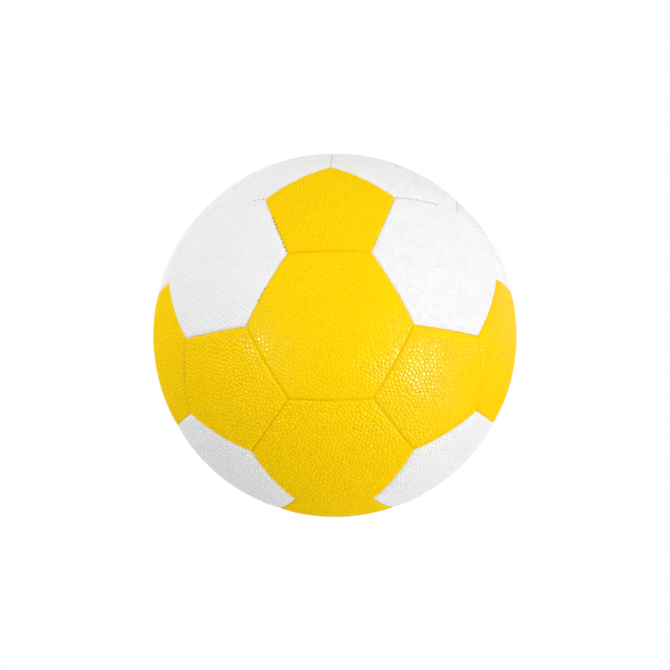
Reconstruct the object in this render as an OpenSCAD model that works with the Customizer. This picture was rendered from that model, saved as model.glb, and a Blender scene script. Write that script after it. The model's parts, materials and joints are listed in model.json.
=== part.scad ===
// Handball, adult match size: a sewn cover of 32 panels round an inflated bladder with a valve.
// The origin is the ball's centre and +Z is up. The photographed side faces -Y.
// Twelve pentagons sit on the corners of an icosahedron and twenty hexagons on its faces.

/* [Ball] */
// Outside diameter over the panels
ball_d = 188; // [150:1:230]
// Gap between two covers where they meet in a seam
seam_gap = 0.3; // [0.1:0.05:0.5]
// How far each panel rounds down towards a seam, measured across the seam
crease_w = 1.4; // [1:0.1:1.6]
// Depth of the crease over a seam
crease_depth = 0.5; // [0.4:0.1:1]
// Radius of the rounded shoulder beside a crease
crease_round = 3; // [2.6:0.1:5]

/* [Panel layers] */
// Thickness of the grained cover
cover_t = 1.2; // [0.9:0.1:2]
// Thickness of the foam pad
foam_t = 2; // [1:0.1:3]
// Thickness of the cloth lining
lining_t = 0.8; // [0.4:0.1:1.4]
// How far the sewn flanges stand in from the lining
flange_drop = 2; // [1.2:0.1:4]
// Glue line between two layers
glue_gap = 0.05; // [0.02:0.01:0.1]

/* [Thread] */
// Diameter of the sewing thread
thread_d = 0.7; // [0.4:0.05:1]
// Depth of the thread's centre line below the bottom of the crease
thread_drop = 0.9; // [0.6:0.1:1.4]
// Clearance round the thread
thread_fit = 0.05; // [0.03:0.01:0.1]
// Length at each end of a seam that the thread leaves free
thread_end = 1.4; // [1:0.1:3]

/* [Bladder] */
// Thickness of the rubber bladder
bladder_t = 1; // [0.6:0.1:1.6]
// Clearance between the bladder and the flanges
bladder_fit = 0.2; // [0.1:0.05:0.4]
// Diameter of the patch inside the bladder
patch_d = 40; // [30:1:50]
// Thickness of the patch
patch_t = 0.6; // [0.4:0.1:1.2]

/* [Valve] */
// Diameter of the valve's stem
stem_d = 9; // [8.4:0.1:12]
// Diameter of the valve's base, bonded to the bladder
base_d = 32; // [24:1:44]
// Depth of the stem's top below the ball's surface
stem_recess = 0.9; // [0.4:0.1:1.6]
// Clearance between the stem and the panel
stem_fit = 0.2; // [0.1:0.05:0.5]
// Diameter of the valve core
core_d = 5.6; // [4.4:0.1:6]
// Length of the valve core
core_len = 14; // [11:0.5:20]
// Diameter of the core's head
head_d = 7; // [6.4:0.1:7.4]
// Thickness of the core's head
head_t = 1.2; // [0.8:0.1:2]
// Clearance between the core and its seat
core_fit = 0.05; // [0.02:0.01:0.1]
// Thickness of the seat's floor under the core
seat_floor_t = 1.5; // [1:0.1:3]
// Diameter of the hole through the seat's floor
floor_hole_d = 3.4; // [3.2:0.1:4]
// Diameter of the passage for an inflating needle
needle_d = 2.2; // [1.6:0.1:3]
// Diameter of the lead-in at the needle passage's mouth
lead_in_d = 3.6; // [3.2:0.1:5]
// Depth of the lead-in
lead_in_depth = 0.8; // [0.5:0.1:1.5]

/* [Colours] */
// Yellow panels
cover_yellow = "#f9cf0c";
// White panels
cover_white = "#eeeeec";

/* [Quality] */
// Facets round a full circle
facets = 96; // [72:12:180]

/* [Hidden] */
$fn = facets;
// Overrun of every cut
over = 1;

// Radii of the layers, from the outside in
ball_r = ball_d / 2;
foam_r = ball_r - cover_t - glue_gap;
lining_r = foam_r - foam_t - glue_gap;
lining_inner_r = lining_r - lining_t;
flange_r = lining_inner_r - flange_drop;
bladder_r = flange_r - bladder_fit;
patch_r = bladder_r - bladder_t - glue_gap;
thread_r = ball_r - crease_depth - thread_drop;

// Distances of each layer's walls from the middle of a seam
cover_inset = seam_gap / 2;
lining_inset = cover_inset + cover_t + glue_gap;
pocket_inset = lining_inset + lining_t;

// Heights along the valve's axis, from the ball's centre
stem_top = ball_r - stem_recess;
core_bottom = stem_top - core_len;
stem_bottom = core_bottom - core_fit - seat_floor_t;

// Pentagon centres: the corners of an icosahedron with edges 2 long.
// A hexagon is the three pentagons round it.
phi = (1 + sqrt(5)) / 2;
edge_share = 2;
slack_share = 0.1;
function unit(v) = v / norm(v);
function is_edge(a, b) = abs(norm(a - b) - edge_share) < slack_share;
pentagons = [
    for (a = [-1, 1], b = [-1, 1])
        each [[0, a, b * phi], [a, b * phi, 0], [b * phi, 0, a]]
];
hexagons = [
    for (i = [0 : 9], j = [i + 1 : 10], k = [j + 1 : 11])
        let (a = pentagons[i], b = pentagons[j], c = pentagons[k])
            if (is_edge(a, b) && is_edge(b, c) && is_edge(a, c)) [a, b, c]
];
function centre(hexagon) = unit(hexagon[0] + hexagon[1] + hexagon[2]);
function neighbour(a) = [for (b = pentagons) if (is_edge(a, b)) b][0];

// A seam is the pair of corners at its ends. The corner nearest pentagon a, on the edge from a to b:
function corner(a, b) = unit(2 * a + b);
pentagon_seams = [
    for (h = hexagons, i = [0 : 2])
        [corner(h[i], h[(i + 1) % 3]), corner(h[i], h[(i + 2) % 3])]
];
hexagon_seams = [
    for (i = [0 : 10], j = [i + 1 : 11])
        let (a = pentagons[i], b = pentagons[j])
            if (is_edge(a, b)) [corner(a, b), corner(b, a)]
];

// Angles seen from the ball's centre: along a seam, and from the middle of a panel with that many
// sides out to the middle of a side
seam_turn = acos(hexagon_seams[0][0] * hexagon_seams[0][1]);
function corner_turn(sides) = asin(sin(seam_turn / 2) / sin(180 / sides));
function side_turn(sides) = acos(cos(corner_turn(sides)) / cos(seam_turn / 2));

// The valve comes through the white hexagon at the upper left of the back
valve_direction = unit([-1, 1, 1]);
function has_valve(hexagon) = norm(centre(hexagon) - valve_direction) < slack_share;
valve_hexagon = [for (h = hexagons) if (has_valve(h)) h][0];

// White panels lie over the top and bottom, at the eight shoulders between the yellow ones,
// and as the four pentagons beside the top and bottom ones
function is_zero(x) = abs(x) < slack_share;
function is_yellow(c) = !is_zero(c.y) && (is_zero(c.x) || is_zero(c.z));

function two_digits(n) = str(n < 10 ? "0" : "", n);
function pentagon_name(i) = str("pentagon_panel_", two_digits(i + 1));
function hexagon_name(i) =
    has_valve(hexagons[i]) ? "valve_panel" : str("hexagon_panel_", two_digits(i + 1));

// Turns +Z to the axis, and +X as nearly to the direction of the point p as the axis lets it
module turn_to(axis, p) {
    lean = acos(axis.z);
    swing = atan2(axis.y, axis.x);
    x_now = [cos(lean) * cos(swing), cos(lean) * sin(swing), -sin(lean)];
    y_now = [-sin(swing), cos(swing), 0];
    rotate([0, lean, swing]) rotate([0, 0, atan2(p * y_now, p * x_now)]) children();
}

// Places of the panels. A panel is made round +Z, with the middle of its first side over +X.
module at_pentagon(a) {
    turn_to(unit(a), corner(a, neighbour(a))) rotate([0, 0, 180 / 5]) children();
}

module at_hexagon(h) {
    turn_to(centre(h), h[0]) children();
}

// Places of a panel's sides. There +Z points from the seam into the panel, and +X out of the ball
// through the middle of the seam.
module at_side(sides, k) {
    rotate([0, 0, 360 * k / sides]) rotate([0, side_turn(sides) - 90, 0]) children();
}

// A whole sphere, turned so that its poles are clear of the panel round +Z
module ball(r) {
    rotate([0, 90, 0]) sphere(r);
}

// The cone of the ball of radius r that lies over one panel, kept back from the seams by the inset
module wedge(sides, r, inset) {
    intersection() {
        ball(r);
        intersection_for (k = [0 : sides - 1])
            at_side(sides, k) translate([-ball_r, -ball_r, inset]) cube(ball_d);
    }
}

// Turns a profile along a seam about +Z, from corner to corner less end_gap at both ends
module along_seam(end_gap) {
    half_turn = seam_turn / 2 - end_gap / thread_r * 180 / PI;
    rotate([0, 0, -half_turn]) rotate_extrude(angle = 2 * half_turn) children();
}

// A thread in a seam, and with more width the channel round it
module seam_cord(d, end_gap) {
    along_seam(end_gap) translate([thread_r, 0]) circle(d = d, $fn = 24);
}

// The space over a seam that gives the panel its rounded shoulder: an arc from the bottom of the
// crease to the panel's face
module crease() {
    chord = [crease_depth, crease_w];
    lift = sqrt(pow(crease_round, 2) - chord * chord / 4);
    along_seam(-crease_w)
        difference() {
            translate([ball_r - crease_depth, -over]) square([crease_depth + over, crease_w + over]);
            translate([ball_r - crease_depth / 2, crease_w / 2])
                translate(lift * unit([-crease_w, crease_depth])) circle(crease_round);
        }
}

// The grained cover of a panel: a dished face with its edges folded in as sewn flanges
module cover(sides) {
    difference() {
        wedge(sides, ball_r, cover_inset);
        ball(flange_r);
        wedge(sides, ball_r - cover_t, cover_inset + cover_t);
        for (k = [0 : sides - 1])
            at_side(sides, k) {
                crease();
                seam_cord(thread_d + 2 * thread_fit, thread_end - 2 * thread_fit);
            }
    }
}

// The foam pad that lies in the cover's dish
module foam(sides) {
    color("lightgrey")
        difference() {
            wedge(sides, foam_r, lining_inset);
            ball(foam_r - foam_t);
        }
}

// The cloth behind the foam, folded in beside the cover's flanges
module lining(sides) {
    color("linen")
        difference() {
            wedge(sides, lining_r, lining_inset);
            ball(flange_r);
            wedge(sides, lining_inner_r, pocket_inset);
        }
}

// What is passed to it, with the valve's hole where the panel has the valve
module with_stem_hole(has_hole) {
    if (has_hole)
        difference() {
            children();
            cylinder(d = stem_d + 2 * stem_fit, h = ball_d);
        }
    else
        children();
}

module pentagon_panel(i) {
    a = pentagons[i];
    color(is_yellow(a) ? cover_yellow : cover_white) at_pentagon(a) cover(5);
}

module hexagon_panel(i) {
    h = hexagons[i];
    color(is_yellow(centre(h)) ? cover_yellow : cover_white)
        at_hexagon(h) with_stem_hole(has_valve(h)) cover(6);
}

module pentagon_foam() {
    for (a = pentagons) at_pentagon(a) foam(5);
}

module hexagon_foam() {
    for (h = hexagons) at_hexagon(h) with_stem_hole(has_valve(h)) foam(6);
}

module pentagon_lining() {
    for (a = pentagons) at_pentagon(a) lining(5);
}

module hexagon_lining() {
    for (h = hexagons) at_hexagon(h) with_stem_hole(has_valve(h)) lining(6);
}

module seam_threads(seams) {
    color("dimgrey")
        for (seam = seams)
            turn_to(unit(cross(seam[0], seam[1])), seam[0] + seam[1])
                seam_cord(thread_d, thread_end);
}

module pentagon_seam_thread() {
    seam_threads(pentagon_seams);
}

module hexagon_seam_thread() {
    seam_threads(hexagon_seams);
}

// The bladder, a thin rubber sphere with a hole for the valve
module bladder() {
    color("black")
        at_hexagon(valve_hexagon)
            difference() {
                ball(bladder_r);
                ball(bladder_r - bladder_t);
                cylinder(d = stem_d + 2 * glue_gap, h = ball_d);
            }
}

// A layer between two spheres, cut to a disc round +Z
module round_layer(outer_r, inner_r, d) {
    difference() {
        intersection() {
            ball(outer_r);
            translate([0, 0, inner_r / 2]) cylinder(d = d, h = ball_d);
        }
        ball(inner_r);
    }
}

// The patch that stiffens the bladder round the valve
module bladder_patch() {
    color("darkslategrey")
        at_hexagon(valve_hexagon)
            difference() {
                round_layer(patch_r, patch_r - patch_t, patch_d);
                cylinder(d = stem_d + 2 * glue_gap, h = ball_d);
            }
}

// The rubber housing: a disc bonded to the bladder, and a stem that holds the core
module valve_housing() {
    color("dimgrey")
        at_hexagon(valve_hexagon)
            difference() {
                union() {
                    round_layer(lining_inner_r - glue_gap, bladder_r + glue_gap, base_d);
                    translate([0, 0, stem_bottom]) cylinder(d = stem_d, h = stem_top - stem_bottom);
                }
                translate([0, 0, core_bottom - core_fit])
                    cylinder(d = core_d + 2 * core_fit, h = core_len + over);
                translate([0, 0, stem_top - head_t - core_fit])
                    cylinder(d = head_d + 2 * core_fit, h = head_t + over);
                translate([0, 0, stem_bottom - over])
                    cylinder(d = floor_hole_d, h = seat_floor_t + 2 * over);
            }
}

// The rubber plug with the passage for the inflating needle
module valve_core() {
    color("grey")
        at_hexagon(valve_hexagon)
            difference() {
                union() {
                    translate([0, 0, core_bottom]) cylinder(d = core_d, h = core_len);
                    translate([0, 0, stem_top - head_t]) cylinder(d = head_d, h = head_t);
                }
                translate([0, 0, core_bottom - over]) cylinder(d = needle_d, h = core_len + 2 * over);
                translate([0, 0, stem_top - lead_in_depth])
                    cylinder(d1 = needle_d, d2 = lead_in_d, h = lead_in_depth);
            }
}

for (i = [0 : len(pentagons) - 1])
    pentagon_panel(i);
for (i = [0 : len(hexagons) - 1])
    hexagon_panel(i);
pentagon_foam();
hexagon_foam();
pentagon_lining();
hexagon_lining();
pentagon_seam_thread();
hexagon_seam_thread();
bladder();
bladder_patch();
valve_housing();
valve_core();
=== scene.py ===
"""Looks of the handball: grained, puffed panels, folded seams and stitches over the CAD frame.

Everything is in metres in the row frame: the ball's centre is the origin, +Z is up, and the
photographed side faces -Y. Sizes come from the CAD nodes where they have them.
"""

import json
import math
from typing import NamedTuple

import bpy
import numpy as np
from mathutils import Matrix, Vector


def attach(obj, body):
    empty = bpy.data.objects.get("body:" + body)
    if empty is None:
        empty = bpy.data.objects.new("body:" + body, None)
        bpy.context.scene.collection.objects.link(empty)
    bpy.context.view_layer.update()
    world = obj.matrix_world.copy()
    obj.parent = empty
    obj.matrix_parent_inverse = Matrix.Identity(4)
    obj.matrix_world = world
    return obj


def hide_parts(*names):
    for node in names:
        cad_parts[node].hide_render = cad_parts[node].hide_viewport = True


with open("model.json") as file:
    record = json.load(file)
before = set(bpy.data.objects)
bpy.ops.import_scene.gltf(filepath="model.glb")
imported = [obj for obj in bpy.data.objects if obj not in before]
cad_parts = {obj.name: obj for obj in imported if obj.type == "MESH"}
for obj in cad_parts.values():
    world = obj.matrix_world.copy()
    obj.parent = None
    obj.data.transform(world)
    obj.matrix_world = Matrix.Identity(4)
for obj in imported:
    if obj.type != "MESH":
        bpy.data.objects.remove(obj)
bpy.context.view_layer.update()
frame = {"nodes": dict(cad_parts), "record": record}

MM = 0.001
FULL_TURN = 2 * math.pi

# Folds: the panels round down into the seams, which all but close. The folds blend round a
# panel's corners, and its face puffs up away from them
SEAM_GAP = 0.08 * MM
FOLD_WIDTH = 1.6 * MM
FOLD_DEPTH = 0.86 * MM
FOLD_ROWS = 8
CORNER_BLEND = 0.5 * MM
PUFF = 0.3 * MM
PUFF_REACH = 4 * MM

# A panel's mesh: rows of its face from the middle to the fold, steps of its underside from the
# edge back to the middle, and the angle in degrees from which an edge looks sharp
FACE_ROWS = 144
UNDER_STEPS = 3
SHARP_ANGLE = 40

# The valve's hole takes the place of the first rows. The face and the fold have a multiple of
# those rows together, so that the underside's points meet the points round the hole. From there
# the rows turn from circles to the panel's outline, over HOLE_BLEND. The hole's rim is round, and
# the face sinks towards it in a dimple
HOLE_ROWS = 19
HOLE_BLEND = 12 * MM
RIM_R = 0.6 * MM
DIMPLE = 0.3 * MM
DIMPLE_REACH = 4 * MM

# The grain: rounded pebbles in a honeycomb that is shaken out of place and drifts in long waves.
# The lowest pebbles have PEBBLE_LOW_SHARE of the height. A pebble is domed over CUSHION_SHARE of
# its height, and the rest falls in a wall that starts TOP_SHARE of the way out to the valley. The
# shaken places repeat after TABLE_CELLS, and a point's pebble is one of the NEAR_CELLS round it
PEBBLE_PITCH = 2.15 * MM
PEBBLE_HEIGHT = 0.38 * MM
PEBBLE_JITTER_SHARE = 0.27
PEBBLE_LOW_SHARE = 0.8
CUSHION_SHARE = 0.18
TOP_SHARE = 0.5
GRAIN_START = 0.6 * MM
SHEET_DRIFT = 0.7 * MM
SHEET_WAVE = 17 * MM
TABLE_CELLS = 64
NEAR_CELLS = range(-1, 3)

# Shares of the pebbles' height on the panels where the photograph shows them lower or higher, and
# on pentagon_panel_12, where full pebbles would make a jagged rim
GRAIN_SHARES = {
    "hexagon_panel_07": 0.7,
    "hexagon_panel_12": 0.8,
    "pentagon_panel_12": 0.6,
    "pentagon_panel_02": 1.15,
    "hexagon_panel_02": 1.2,
    "hexagon_panel_01": 1.3,
    "hexagon_panel_05": 1.2,
}

# The cord along each seam lies deeper than the CAD's, and stops short of the corners
CORD_DROP = 0.5 * MM
THREAD_END = 1.4 * MM
THREAD_STEPS = 20
THREAD_SIDES = 8

# The stitches across: most lie deep between the flanges, and a few come up into the fold. Each is
# a tube that thins to its ends, and leaves off at STITCH_TIP, a turn in radians
STITCH_D = 0.27 * MM
STITCH_PITCH = 2.5 * MM
STITCH_LENGTH = 1.1 * MM
STITCH_DROP = 2.6 * MM
STITCH_END = 0.1 * MM
STITCH_STEPS = 7
STITCH_TIP = 0.12
SHOWN_DROP = 0.89 * MM
SHOWN_NEAR = 2 * MM

# Stretches of the seams where the stitches come up into view, and their dark thread draws dark dots
# that are partly painted shade of the gaps between stitches: the direction of the middle of each,
# its reach to either side and the spacing of the stitches in that seam
SHOWN_STITCHES = [
    ((-0.246, -0.636, 0.731), 11.2 * MM, 2.4 * MM),
    ((-0.327, -0.82, 0.47), 4.2 * MM, 2.9 * MM),
    ((0.436, -0.347, 0.83), 13.4 * MM, 1.6 * MM),
    ((-0.366, -0.385, 0.847), 3.9 * MM, 2.4 * MM),
    ((-0.745, -0.666, 0.034), 5.5 * MM, 1.5 * MM),
]

# Leather: a matt body under a gloss coat that comes in towards the tops of the pebbles, between
# two heights of the grain, and the fine pores in it
LEATHER_ROUGHNESS = 0.6
COAT_ROUGHNESS = 0.12
COAT_WEIGHT = 0.06
COAT_START_SHARE = 0.75
COAT_FULL_SHARE = 0.92
PORE_WAVES = 1600
PORE_DETAIL = 4
PORE_DEPTH = 0.02 * MM
PORE_STRENGTH = 0.6

# The leathers by slot: name, and the colours between the pebbles and on their tops. The darker
# colour between the pebbles is painted shade, and it also lies along the seams' edges and round the
# valve's hole, where the grain fades out
LEATHERS = {
    "cover_yellow": ("yellow_leather", (0.94, 0.61, 0.002), (0.98, 0.66, 0.003)),
    "cover_white": ("white_leather", (0.84, 0.84, 0.84), (0.875, 0.875, 0.875)),
}

# The other materials by slot: name, the two colours of the mottle, roughness, specular level,
# waves of the mottle in a metre, and the depth of its bump
MOTTLE_DETAIL = 3
PLAIN_MATERIALS = {
    "foam": ("grey_foam", (0.5, 0.5, 0.48), (0.6, 0.6, 0.58), 0.9, 0.2, 2500, 0.1 * MM),
    "lining": ("lining_cloth", (0.66, 0.62, 0.52), (0.76, 0.72, 0.62), 0.95, 0.1, 1800, 0.1 * MM),
    # The thread is dark so that the stitches that come up into the folds show as dark dots: partly
    # the thread's own colour, partly painted shade of the gaps between stitches
    "thread": ("thread_dark_with_gap_shade", (0.09, 0.075, 0.068), (0.15, 0.13, 0.12), 0.7, 0.2, 3000, 0.05 * MM),
    "bladder": ("bladder_rubber", (0.015,) * 3, (0.03,) * 3, 0.6, 0.4, 300, 0.02 * MM),
    "patch": ("patch_rubber", (0.04,) * 3, (0.06,) * 3, 0.65, 0.4, 500, 0.02 * MM),
    "valve_housing": ("housing_rubber", (0.03,) * 3, (0.05,) * 3, 0.55, 0.4, 900, 0.02 * MM),
    "valve_core": ("core_rubber", (0.28, 0.28, 0.27), (0.36, 0.36, 0.35), 0.5, 0.4, 900, 0.02 * MM),
}

# The white room: the strength of its even light on the ball, and its floor, far below the ball
# and under all the lamps, so that the ball casts no shadow in view
WHITE = (1, 1, 1, 1)
AMBIENT = 0.6
FLOOR_DROP = 1.6
FLOOR_SIDE = 60

# Round lamps that look at the ball, all from one distance. The softboxes: azimuth and elevation
# in degrees, and watts
LAMP_DISTANCE = 1.2
SOFTBOX_D = 0.9
SOFTBOXES = {
    "right_softbox": (40, 5, 5.7),
    "top_softbox": (-30, 60, 3.6),
    "left_softbox": (-100, 10, 3.9),
    "far_right_softbox": (120, 30, 0.5),
    "rear_softbox": (180, 0, 1.5),
    "low_left_softbox": (-120, -50, 2.5),
    "low_right_softbox": (80, -40, 1.2),
}

# Lamps that show in reflections alone: they make the two clusters of glints and the sheen of the
# right rim, and leave the even tone of the leather as it is. Azimuth, elevation, diameter, watts
GLINT_LAMPS = {
    "right_glint": (51, -7, 0.52, 215),
    "left_glint": (-44, 8.2, 0.2, 60),
    "right_sheen": (130, 5, 1.1, 50),
}

# The camera, found by fitting the seams' corners and the ball's outline to the photograph: angles
# in degrees, distance in radii of the ball, and the sensor in the millimetres that lenses have
CAMERA_AZIMUTH = 1.54
CAMERA_ELEVATION = 17.98
CAMERA_ROLL = -1.08
CAMERA_DISTANCE_SHARE = 5.985
PHOTO_SIDE_PX = 670
FOCAL_LENGTH_PX = 1073.1
BALL_CENTRE_PX = (334.93, 335.25)
SENSOR_WIDTH = 36

# The panels, in the order and with the names of the CAD source. The valve comes through the white
# hexagon at the upper left of the back
PHI = (1 + math.sqrt(5)) / 2
EDGE = 2
SLACK = 0.1
VALVE_DIRECTION = np.array((-1, 1, 1)) / math.sqrt(3)


def unit(v):
    return v / np.linalg.norm(v)


def is_edge(a, b):
    return abs(np.linalg.norm(a - b) - EDGE) < SLACK


def is_zero(x):
    return abs(x) < SLACK


def is_yellow(c):
    """Whether the panel round that direction is yellow. The white ones lie over the top and
    bottom, at the eight shoulders, and as the four pentagons beside the top and bottom ones."""
    return not is_zero(c[1]) and (is_zero(c[0]) or is_zero(c[2]))


def corner(a, b):
    """The seam corner nearest pentagon a, on the edge from a to b."""
    return unit(2 * a + b)


PENTAGONS = [
    np.array(p)
    for a in (-1, 1)
    for b in (-1, 1)
    for p in ((0, a, b * PHI), (a, b * PHI, 0), (b * PHI, 0, a))
]
HEXAGONS = [
    (a, b, c)
    for i, a in enumerate(PENTAGONS)
    for j, b in enumerate(PENTAGONS)
    for k, c in enumerate(PENTAGONS)
    if i < j < k and is_edge(a, b) and is_edge(b, c) and is_edge(a, c)
]
PENTAGON_SEAMS = [
    (corner(h[i], h[i - 2]), corner(h[i], h[i - 1])) for h in HEXAGONS for i in range(3)
]
HEXAGON_SEAMS = [
    (corner(a, b), corner(b, a))
    for i, a in enumerate(PENTAGONS)
    for j, b in enumerate(PENTAGONS)
    if i < j and is_edge(a, b)
]


# Sizes of the frame's layers

def node_points(node):
    """The points of a CAD node."""
    mesh = frame["nodes"][node].data
    points = np.empty(len(mesh.vertices) * 3)
    mesh.vertices.foreach_get("co", points)
    return points.reshape(-1, 3)


def radii(node):
    """The smallest and the largest distance of a CAD node's points from the ball's centre."""
    distances = np.linalg.norm(node_points(node), axis=1)
    return distances.min(), distances.max()


def off_axis_radius(node, direction):
    """The smallest distance of a CAD node's points from a line through the ball's centre."""
    points = node_points(node)
    return np.linalg.norm(points - np.outer(points @ direction, direction), axis=1).min()


flange_r, ball_r = radii("hexagon_panel_01")
cover_inner_r = radii("hexagon_foam")[1]
cover_t = ball_r - cover_inner_r
thread_inner_r, thread_outer_r = radii("hexagon_seam_thread")
thread_r = (thread_inner_r + thread_outer_r) / 2 - CORD_DROP
thread_tube_r = (thread_outer_r - thread_inner_r) / 2
hole_r = off_axis_radius("valve_panel", VALVE_DIRECTION)


def flat_hole_r(radius):
    """The valve's hole on a panel's flat plane, where it passes a sphere of that radius."""
    return hole_r / math.sqrt(radius**2 - hole_r**2)


class Panel:
    """A panel's name, colour slot, own axes, and corners in order round it. Its flat plane is the
    one that touches the unit sphere at the panel's middle."""

    def __init__(self, name, centre, corners, number):
        self.centre = unit(centre)
        self.number = number
        self.has_valve = np.linalg.norm(self.centre - VALVE_DIRECTION) < SLACK
        self.name = "valve_panel" if self.has_valve else name
        self.slot = "cover_yellow" if is_yellow(self.centre) else "cover_white"
        x = unit(corners[0] - (corners[0] @ self.centre) * self.centre)
        self.axes = np.array((x, np.cross(self.centre, x), self.centre))
        own = [self.axes @ c for c in corners]
        angles = [(math.atan2(c[1], c[0]) + SLACK) % FULL_TURN for c in own]
        self.corners = np.array([corners[n] for n in np.argsort(angles)])
        self.sides = len(corners)
        seams = zip(self.corners, np.roll(self.corners, -1, axis=0))
        self.seam_normals = np.array([unit(np.cross(a, b)) for a, b in seams])
        self.side_turn = math.acos(unit(self.corners[0] + self.corners[1]) @ self.centre)
        self.flat_side_r = math.tan(self.side_turn)

    def flat_corners(self):
        """The corners on the flat plane."""
        own = self.corners @ self.axes.T
        return own[:, :2] / own[:, 2:]

    def directions(self, flat):
        """Unit vectors through points of the flat plane."""
        points = np.column_stack((flat, np.ones(len(flat)))) @ self.axes
        return points / np.linalg.norm(points, axis=1)[:, None]

    def scale_at(self, distance, radius):
        """The scale of the panel's outline whose sides are that far from the seams."""
        return math.tan(self.side_turn - math.asin(distance / radius)) / self.flat_side_r


def all_panels():
    """The 12 pentagons and then the 20 hexagons."""
    panels = []
    for a in PENTAGONS:
        corners = [corner(a, b) for b in PENTAGONS if is_edge(a, b)]
        panels.append(Panel(f"pentagon_panel_{len(panels) + 1:02d}", a, corners, len(panels)))
    for i, h in enumerate(HEXAGONS):
        corners = [corner(a, b) for a in h for b in h if a is not b]
        panels.append(Panel(f"hexagon_panel_{i + 1:02d}", sum(h), corners, len(panels)))
    return panels


# The grain

def smooth_step(x):
    """A smooth rise from 0 to 1 as x does the same."""
    t = np.clip(x, 0, 1)
    return t * t * (3 - 2 * t)


def pebbles(points, rng):
    """The grain at points of a flat sheet: how far up its pebble each point lies, from 0 in the
    valleys to 1 on the top, and that pebble's share of the full height. The pebbles are the cells
    of a honeycomb whose middles are shaken out of place."""
    turn = rng.uniform(0, FULL_TURN)
    phases = rng.uniform(0, FULL_TURN, 2)
    drift = np.sin(points[:, ::-1] / SHEET_WAVE * FULL_TURN + phases) * SHEET_DRIFT
    lean = turn + FULL_TURN / 6
    along = np.array((math.cos(turn), math.sin(turn))) * PEBBLE_PITCH
    across = np.array((math.cos(lean), math.sin(lean))) * PEBBLE_PITCH
    basis = np.array((along, across))
    sheet = points + drift
    cells = np.floor(sheet @ np.linalg.inv(basis)).astype(int)
    shake = rng.uniform(-1, 1, (TABLE_CELLS, TABLE_CELLS, 2)) * PEBBLE_JITTER_SHARE * PEBBLE_PITCH
    tops = rng.uniform(PEBBLE_LOW_SHARE, 1, (TABLE_CELLS, TABLE_CELLS))
    distances, heights = [], []
    for i in NEAR_CELLS:
        for j in NEAR_CELLS:
            near = cells + (i, j)
            place = near % TABLE_CELLS
            middles = near @ basis + shake[place[:, 0], place[:, 1]]
            distances.append(np.linalg.norm(sheet - middles, axis=1))
            heights.append(tops[place[:, 0], place[:, 1]])
    distances, heights = np.array(distances), np.array(heights)
    nearest = distances.argmin(axis=0)
    first, second = np.partition(distances, 1, axis=0)[:2]
    out = 2 * first / (second + first)
    wall = smooth_step((out - TOP_SHARE) / (1 - TOP_SHARE))
    shape = CUSHION_SHARE * (1 - out**2) + (1 - CUSHION_SHARE) * (1 - wall)
    return shape, heights[nearest, np.arange(len(nearest))]


def shoulder(distance, width, depth):
    """How far a rounded edge drops, at a distance in from the edge. It is an arc that starts at
    that depth and joins the face smoothly at that width."""
    radius = (width**2 + depth**2) / (2 * depth)
    left = np.clip(width - distance, 0, width)
    return radius - np.sqrt(radius**2 - left**2)


def face_points(panel, directions):
    """The outer surface along those directions, and the height of its grain."""
    rng = np.random.default_rng(panel.number)
    from_seams = ball_r * np.arcsin(directions @ panel.seam_normals.T)
    inside = -CORNER_BLEND * np.log(np.exp(-from_seams / CORNER_BLEND).sum(axis=1)) - SEAM_GAP / 2
    drop = shoulder(inside, FOLD_WIDTH, FOLD_DEPTH)
    drop += PUFF * np.exp(-np.clip(inside, 0, None) / PUFF_REACH)
    own = directions @ panel.axes.T
    sideways = np.linalg.norm(own[:, :2], axis=1)
    from_middle = np.arctan2(sideways, own[:, 2]) * ball_r
    ways = own[:, :2] / np.where(sideways == 0, 1, sideways)[:, None]
    grain, tops = pebbles(ways * from_middle[:, None], rng)
    relief = smooth_step(inside / GRAIN_START)
    if panel.has_valve:
        from_hole = from_middle - hole_r
        drop += shoulder(from_hole, RIM_R, RIM_R) + DIMPLE * np.exp(-from_hole / DIMPLE_REACH)
        relief *= smooth_step(from_hole / GRAIN_START)
    height = PEBBLE_HEIGHT * GRAIN_SHARES.get(panel.name, 1)
    surface_r = ball_r - drop - (1 - grain * tops) * height * relief
    return directions * surface_r[:, None], grain * relief


# The mesh of a panel: rows of points that follow its outline, from the middle to the seam, then
# down the flange and back under the face

def outline_scales(panel):
    """The scales of the rows, close together where the panel folds down."""
    distances = [SEAM_GAP / 2 + FOLD_WIDTH * (1 - k / FOLD_ROWS) for k in range(FOLD_ROWS + 1)]
    fold = [panel.scale_at(d, ball_r) for d in distances]
    return [fold[0] * i / FACE_ROWS for i in range(FACE_ROWS)] + fold


def outline_row(panel, count):
    """Points along the panel's flat outline, with that many steps on each side."""
    corners = panel.flat_corners()
    steps = np.arange(count)[:, None] / count
    following = np.roll(corners, -1, axis=0)
    return np.concatenate([a + (b - a) * steps for a, b in zip(corners, following)])


def row_points(panel, count, scale, first_scale):
    """One row of the face. Round the valve's hole the rows start as circles."""
    if not panel.has_valve:
        return outline_row(panel, count) * scale
    side_r = panel.flat_side_r
    start_r = first_scale * side_r
    inner_r = flat_hole_r(ball_r)
    grown = inner_r + (scale * side_r - start_r) * (1 - inner_r / side_r) / (1 - start_r / side_r)
    points = outline_row(panel, count) * grown / side_r
    circle = points / np.linalg.norm(points, axis=1)[:, None] * grown
    share = smooth_step((grown - inner_r) * ball_r / HOLE_BLEND)
    return circle + (points - circle) * share


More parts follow.
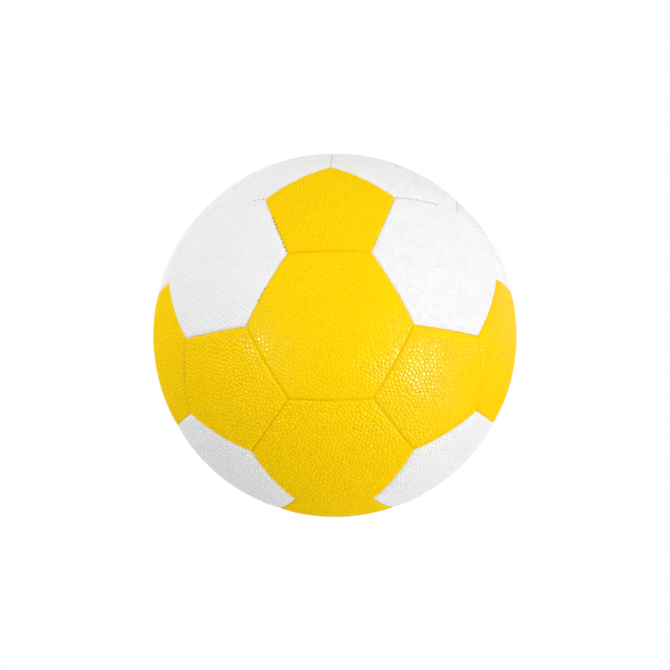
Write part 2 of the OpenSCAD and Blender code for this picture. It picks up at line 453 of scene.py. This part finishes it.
def face_grid(panel):
    """Flat points of all rows, their triangles, and the numbers of the first and last row."""
    scales = outline_scales(panel)
    first = HOLE_ROWS if panel.has_valve else 1
    rows = [] if panel.has_valve else [np.zeros((1, 2))]
    rows += [row_points(panel, i, scales[i], scales[first]) for i in range(first, len(scales))]
    starts = np.cumsum([0] + [len(r) for r in rows])
    triangles = []
    loops = [np.arange(a, b) for a, b in zip(starts, starts[1:])]
    for inner, outer in zip(loops, loops[1:]):
        steps = len(outer) // panel.sides
        k, j = np.divmod(np.arange(len(outer)), steps)
        ahead = outer[(np.arange(len(outer)) + 1) % len(outer)]
        behind = inner[(k * (steps - 1) + j) % len(inner)]
        triangles.append(np.column_stack((outer, ahead, behind)))
        filling = j < steps - 1
        beside = inner[(k * (steps - 1) + j + 1) % len(inner)]
        triangles.append(np.column_stack((behind, ahead, beside))[filling])
    return np.concatenate(rows), np.concatenate(triangles), loops[0], loops[-1]


def band(upper, lower):
    """Triangles between two loops of points, where the lower one may have fewer points."""
    ratio = len(upper) // len(lower)
    n = np.arange(len(upper))
    ahead = upper[(n + 1) % len(upper)]
    foot = lower[n // ratio]
    triangles = [np.column_stack((upper, foot, ahead))]
    if len(lower) > 1:
        last = n % ratio == ratio - 1
        next_foot = lower[(n // ratio + 1) % len(lower)]
        triangles.append(np.column_stack((ahead, foot, next_foot))[last])
    return np.concatenate(triangles)


def under_loops(panel):
    """The scale and the radius of each loop of points down the flange and under the face."""
    edge = SEAM_GAP / 2
    under_scale = panel.scale_at(edge + cover_t, cover_inner_r)
    last_scale = under_scale / UNDER_STEPS
    if panel.has_valve:
        last_scale = flat_hole_r(cover_inner_r) / panel.flat_side_r
    return [
        (panel.scale_at(edge, flange_r), flange_r),
        (panel.scale_at(edge + cover_t, flange_r), flange_r),
        (under_scale, cover_inner_r),
        ((under_scale + last_scale) / 2, cover_inner_r),
        (last_scale, cover_inner_r),
    ]


def mesh_object(name, points, triangles, material):
    """A smooth piece of the object, which rides on its one body."""
    mesh = bpy.data.meshes.new(name)
    mesh.vertices.add(len(points))
    mesh.vertices.foreach_set("co", np.ascontiguousarray(points, np.float32).ravel())
    mesh.loops.add(triangles.size)
    mesh.loops.foreach_set("vertex_index", triangles.ravel().astype(np.int32))
    mesh.polygons.add(len(triangles))
    mesh.polygons.foreach_set("loop_start", np.arange(0, triangles.size, 3, dtype=np.int32))
    mesh.update(calc_edges=True)
    mesh.shade_smooth()
    mesh.set_sharp_from_angle(angle=math.radians(SHARP_ANGLE))
    mesh.materials.append(material)
    piece = bpy.data.objects.new(name, mesh)
    bpy.context.scene.collection.objects.link(piece)
    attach(piece, "root")
    return piece


def build_panel(panel, material):
    """The grained cover of one panel, closed all round like its CAD solid."""
    flat, triangles, first_loop, edge_loop = face_grid(panel)
    face, grain = face_points(panel, panel.directions(flat))
    outline = outline_row(panel, len(edge_loop) // panel.sides)
    loops = under_loops(panel)
    points, upper, total = [face], edge_loop, len(face)
    for n, (scale, radius) in enumerate(loops):
        flat_loop = outline * scale
        if panel.has_valve and n == len(loops) - 1:
            circle = outline / np.linalg.norm(outline, axis=1)[:, None]
            flat_loop = circle * scale * panel.flat_side_r
        points.append(panel.directions(flat_loop) * radius)
        lower = np.arange(total, total + len(outline))
        triangles = np.concatenate((triangles, band(upper, lower)))
        total, upper = total + len(outline), lower
    if panel.has_valve:
        triangles = np.concatenate((triangles, band(upper, first_loop)))
    else:
        points.append(panel.centre[None, :] * cover_inner_r)
        triangles = np.concatenate((triangles, band(upper, np.array([total]))))
    points = np.concatenate(points)
    piece = mesh_object(f"{panel.name}_cover", points, triangles, material)
    heights = np.zeros(len(points), np.float32)
    heights[: len(grain)] = grain
    piece.data.attributes.new("grain", "FLOAT", "POINT").data.foreach_set("value", heights)
    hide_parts(panel.name)


# Seams: the thread that runs along between the flanges, and the stitches across

class Stretch(NamedTuple):
    """A stretch of a seam where the stitches come up into view."""

    middle: np.ndarray
    reach: float
    pitch: float


STRETCHES = [Stretch(unit(np.array(way)), reach, pitch) for way, reach, pitch in SHOWN_STITCHES]


def tube(centres, sides_a, sides_b, tube_r):
    """Points and triangles of a round tube along centres. The two side directions and the radius
    are one for each centre."""
    turns = np.arange(THREAD_SIDES) / THREAD_SIDES * FULL_TURN
    cosines, sines = np.cos(turns)[None, :, None], np.sin(turns)[None, :, None]
    ring = cosines * sides_a[:, None] + sines * sides_b[:, None]
    points = centres[:, None] + ring * tube_r[:, None, None]
    count = len(centres)
    points = np.concatenate((points.reshape(-1, 3), centres[:1], centres[-1:]))
    loops = [np.arange(n * THREAD_SIDES, (n + 1) * THREAD_SIDES) for n in range(count)]
    triangles = [band(upper, lower) for upper, lower in zip(loops, loops[1:])]
    triangles.append(band(loops[-1], np.array([len(points) - 1])))
    triangles.append(band(loops[0], np.array([len(points) - 2]))[:, ::-1])
    return points, np.concatenate(triangles)


class Seam:
    """A seam between two corners: its directions across, out at its middle and forward, and half
    of its turn as seen from the ball's centre."""

    def __init__(self, a, b):
        self.across = unit(np.cross(a, b))
        self.middle = unit(a + b)
        self.forward = np.cross(self.across, self.middle)
        self.half = math.acos(a @ b) / 2

    def holds(self, way):
        """Whether a direction lies on the seam, or within SHOWN_NEAR of it."""
        is_near = abs(way @ self.across) * ball_r < SHOWN_NEAR
        return is_near and math.acos(way @ self.middle) < self.half

    def cord(self):
        """The cord along the seam, short of its corners."""
        reach = self.half - THREAD_END / thread_r
        turns = np.linspace(-reach, reach, THREAD_STEPS)
        out = np.outer(np.cos(turns), self.middle) + np.outer(np.sin(turns), self.forward)
        flat = np.tile(self.across, (THREAD_STEPS, 1))
        return tube(out * thread_r, flat, out, np.full(THREAD_STEPS, thread_tube_r))

    def stitch(self, up, drop):
        """One stitch across the seam, at that direction and depth."""
        steps = np.linspace(STITCH_TIP, math.pi - STITCH_TIP, STITCH_STEPS)
        along = np.outer(-np.cos(steps) * STITCH_LENGTH / 2, self.across)
        ways = [np.tile(way, (STITCH_STEPS, 1)) for way in (np.cross(self.across, up), up)]
        return tube(along + up * (ball_r - drop), *ways, STITCH_D / 2 * np.sqrt(np.sin(steps)))

    def stitches(self):
        """All the stitches of the seam, evenly spaced."""
        shown = [s for s in STRETCHES if self.holds(s.middle)]
        pitch = shown[0].pitch if shown else STITCH_PITCH
        reach = self.half - STITCH_END / ball_r
        count = round(2 * reach * ball_r / pitch)
        for turn in (np.arange(count) + 0.5 - count / 2) * 2 * reach / count:
            up = math.cos(turn) * self.middle + math.sin(turn) * self.forward
            is_shown = any(np.linalg.norm(up - s.middle) * ball_r < s.reach for s in shown)
            yield self.stitch(up, SHOWN_DROP if is_shown else STITCH_DROP)


def build_threads(node, seams, material):
    """The cords and stitches of all those seams, as one piece in the place of the CAD's cords."""
    points, triangles, total = [], [], 0
    for a, b in seams:
        seam = Seam(a, b)
        for part_points, part_triangles in (seam.cord(), *seam.stitches()):
            points.append(part_points)
            triangles.append(part_triangles + total)
            total += len(part_points)
    points, triangles = np.concatenate(points), np.concatenate(triangles)
    piece = mesh_object(f"{node}_stitches", points, triangles, material)
    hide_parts(node)


# Materials

def new_material(name, roughness, specular):
    """A material with one principled shader, and that shader's node."""
    material = bpy.data.materials.new(name)
    material.use_nodes = True
    shader = next(n for n in material.node_tree.nodes if n.type == "BSDF_PRINCIPLED")
    shader.inputs["Roughness"].default_value = roughness
    shader.inputs["Specular IOR Level"].default_value = specular
    return material, shader


def noise(tree, waves, detail):
    """A noise texture over the piece's own place, with that many waves in a metre."""
    place = tree.nodes.new("ShaderNodeTexCoord")
    texture = tree.nodes.new("ShaderNodeTexNoise")
    texture.inputs["Scale"].default_value = waves
    texture.inputs["Detail"].default_value = detail
    tree.links.new(place.outputs["Object"], texture.inputs["Vector"])
    return texture.outputs["Fac"]


def mix_colours(tree, factor, low, high):
    """A colour that goes from low to high with the factor."""
    mix = tree.nodes.new("ShaderNodeMix")
    mix.data_type = "RGBA"
    mix.inputs["A"].default_value = (*low, 1)
    mix.inputs["B"].default_value = (*high, 1)
    tree.links.new(factor, mix.inputs["Factor"])
    return mix.outputs["Result"]


def add_bump(tree, shader, height, distance, strength=1):
    """A bump on the shader that rises by that distance where the height is 1."""
    bump = tree.nodes.new("ShaderNodeBump")
    bump.inputs["Distance"].default_value = distance
    bump.inputs["Strength"].default_value = strength
    tree.links.new(height, bump.inputs["Height"])
    tree.links.new(bump.outputs["Normal"], shader.inputs["Normal"])


def leather(name, valley, top):
    """Synthetic leather, darker between the pebbles and along the seams' edges as painted shade: a
    matt body under a thin gloss coat."""
    material, shader = new_material(name, LEATHER_ROUGHNESS, specular=0)
    shader.inputs["Coat Roughness"].default_value = COAT_ROUGHNESS
    tree = material.node_tree
    grain = tree.nodes.new("ShaderNodeAttribute")
    grain.attribute_name = "grain"
    # The base colour goes to the darker one where the grain attribute falls, in the valleys and at
    # the seams' edges: painted shade
    colour = mix_colours(tree, grain.outputs["Fac"], valley, top)
    tree.links.new(colour, shader.inputs["Base Color"])
    gloss = tree.nodes.new("ShaderNodeMapRange")
    gloss.inputs["From Min"].default_value = COAT_START_SHARE
    gloss.inputs["From Max"].default_value = COAT_FULL_SHARE
    gloss.inputs["To Max"].default_value = COAT_WEIGHT
    tree.links.new(grain.outputs["Fac"], gloss.inputs["Value"])
    tree.links.new(gloss.outputs["Result"], shader.inputs["Coat Weight"])
    add_bump(tree, shader, noise(tree, PORE_WAVES, PORE_DETAIL), PORE_DEPTH, PORE_STRENGTH)
    return material


def plain(name, dark, light, roughness, specular, waves, bump_depth):
    """A matt or satin material, mottled between two colours, with a fine bump."""
    material, shader = new_material(name, roughness, specular)
    tree = material.node_tree
    mottle = noise(tree, waves, MOTTLE_DETAIL)
    tree.links.new(mix_colours(tree, mottle, dark, light), shader.inputs["Base Color"])
    add_bump(tree, shader, mottle, bump_depth)
    return material


def build_materials():
    """The material of each slot."""
    materials = {slot: leather(*looks) for slot, looks in LEATHERS.items()}
    for slot, looks in PLAIN_MATERIALS.items():
        materials[slot] = plain(*looks)
    return materials


def paint_frame(materials):
    """Gives every CAD node the material of its slot. Those that a piece replaces don't show."""
    slots = {s["node"]: s["material_slot"] for s in frame["record"]["subparts"]}
    for name, node in frame["nodes"].items():
        node.data.materials.clear()
        node.data.materials.append(materials[slots[name]])


# Light and camera

def room_light(tree, output_type, light_type):
    """White to the camera and in reflections, and a dimmer even light on the ball."""
    tree.nodes.clear()
    output = tree.nodes.new(output_type)
    room = tree.nodes.new(light_type)
    room.inputs["Color"].default_value = WHITE
    room.inputs["Strength"].default_value = AMBIENT
    white = tree.nodes.new(light_type)
    white.inputs["Color"].default_value = WHITE
    white.inputs["Strength"].default_value = 1
    rays = tree.nodes.new("ShaderNodeLightPath")
    seen = rays.outputs["Is Camera Ray"]
    for name in ("Is Glossy Ray", "Is Transmission Ray"):
        either = tree.nodes.new("ShaderNodeMath")
        either.operation = "MAXIMUM"
        tree.links.new(seen, either.inputs[0])
        tree.links.new(rays.outputs[name], either.inputs[1])
        seen = either.outputs["Value"]
    mix = tree.nodes.new("ShaderNodeMixShader")
    tree.links.new(seen, mix.inputs["Fac"])
    tree.links.new(room.outputs[0], mix.inputs[1])
    tree.links.new(white.outputs[0], mix.inputs[2])
    tree.links.new(mix.outputs["Shader"], output.inputs["Surface"])


def build_backdrop():
    """The white world all round."""
    world = bpy.data.worlds.new("white_room")
    bpy.context.scene.world = world
    world.use_nodes = True
    room_light(world.node_tree, "ShaderNodeOutputWorld", "ShaderNodeBackground")


def build_floor():
    """The white floor, which looks like the backdrop."""
    material = bpy.data.materials.new("white_floor")
    material.use_nodes = True
    material.cycles.emission_sampling = "NONE"
    room_light(material.node_tree, "ShaderNodeOutputMaterial", "ShaderNodeEmission")
    half = FLOOR_SIDE / 2
    square = ((-half, -half), (half, -half), (half, half), (-half, half))
    mesh = bpy.data.meshes.new("studio_floor")
    mesh.from_pydata([(x, y, -FLOOR_DROP) for x, y in square], [], [(0, 1, 2, 3)])
    mesh.materials.append(material)
    floor = bpy.data.objects.new("studio_floor", mesh)
    bpy.context.scene.collection.objects.link(floor)


def way_to(azimuth, elevation):
    """The direction of a place round the ball, from its azimuth and elevation in degrees."""
    a, e = math.radians(azimuth), math.radians(elevation)
    return Vector((math.sin(a) * math.cos(e), -math.cos(a) * math.cos(e), math.sin(e)))


def disc_lamp(name, azimuth, elevation, diameter, watts):
    """A round lamp that looks at the ball."""
    lamp = bpy.data.lights.new(name, "AREA")
    lamp.shape = "DISK"
    lamp.size = diameter
    lamp.energy = watts
    holder = bpy.data.objects.new(name, lamp)
    bpy.context.scene.collection.objects.link(holder)
    way = way_to(azimuth, elevation)
    holder.location = way * LAMP_DISTANCE
    holder.rotation_mode = "QUATERNION"
    holder.rotation_quaternion = way.to_track_quat("Z", "Y")
    return holder


def build_lamps():
    """The softboxes, and the lamps that show in reflections alone."""
    for name, (azimuth, elevation, watts) in SOFTBOXES.items():
        disc_lamp(name, azimuth, elevation, SOFTBOX_D, watts)
    for name, (azimuth, elevation, diameter, watts) in GLINT_LAMPS.items():
        holder = disc_lamp(name, azimuth, elevation, diameter, watts)
        holder.visible_diffuse = False


def build_camera():
    """The photograph's camera, from the fit."""
    camera = bpy.data.cameras.new("camera")
    camera.sensor_width = SENSOR_WIDTH
    camera.lens = FOCAL_LENGTH_PX / PHOTO_SIDE_PX * SENSOR_WIDTH
    camera.shift_x = (PHOTO_SIDE_PX / 2 - BALL_CENTRE_PX[0]) / PHOTO_SIDE_PX
    camera.shift_y = (BALL_CENTRE_PX[1] - PHOTO_SIDE_PX / 2) / PHOTO_SIDE_PX
    camera.dof.use_dof = False
    holder = bpy.data.objects.new("camera", camera)
    bpy.context.scene.collection.objects.link(holder)
    back = way_to(CAMERA_AZIMUTH, CAMERA_ELEVATION)
    level = Vector((0, 0, 1)).cross(back).normalized()
    above = back.cross(level)
    roll = math.radians(CAMERA_ROLL)
    right = level * math.cos(roll) + above * math.sin(roll)
    up = above * math.cos(roll) - level * math.sin(roll)
    turned = Matrix((right, up, back)).transposed().to_4x4()
    holder.matrix_world = Matrix.Translation(back * CAMERA_DISTANCE_SHARE * ball_r) @ turned
    bpy.context.scene.camera = holder


def main():
    bpy.context.scene.view_settings.view_transform = "Standard"
    materials = build_materials()
    for panel in all_panels():
        build_panel(panel, materials[panel.slot])
    build_threads("pentagon_seam_thread", PENTAGON_SEAMS, materials["thread"])
    build_threads("hexagon_seam_thread", HEXAGON_SEAMS, materials["thread"])
    paint_frame(materials)
    build_backdrop()
    build_floor()
    build_lamps()
    build_camera()


main()
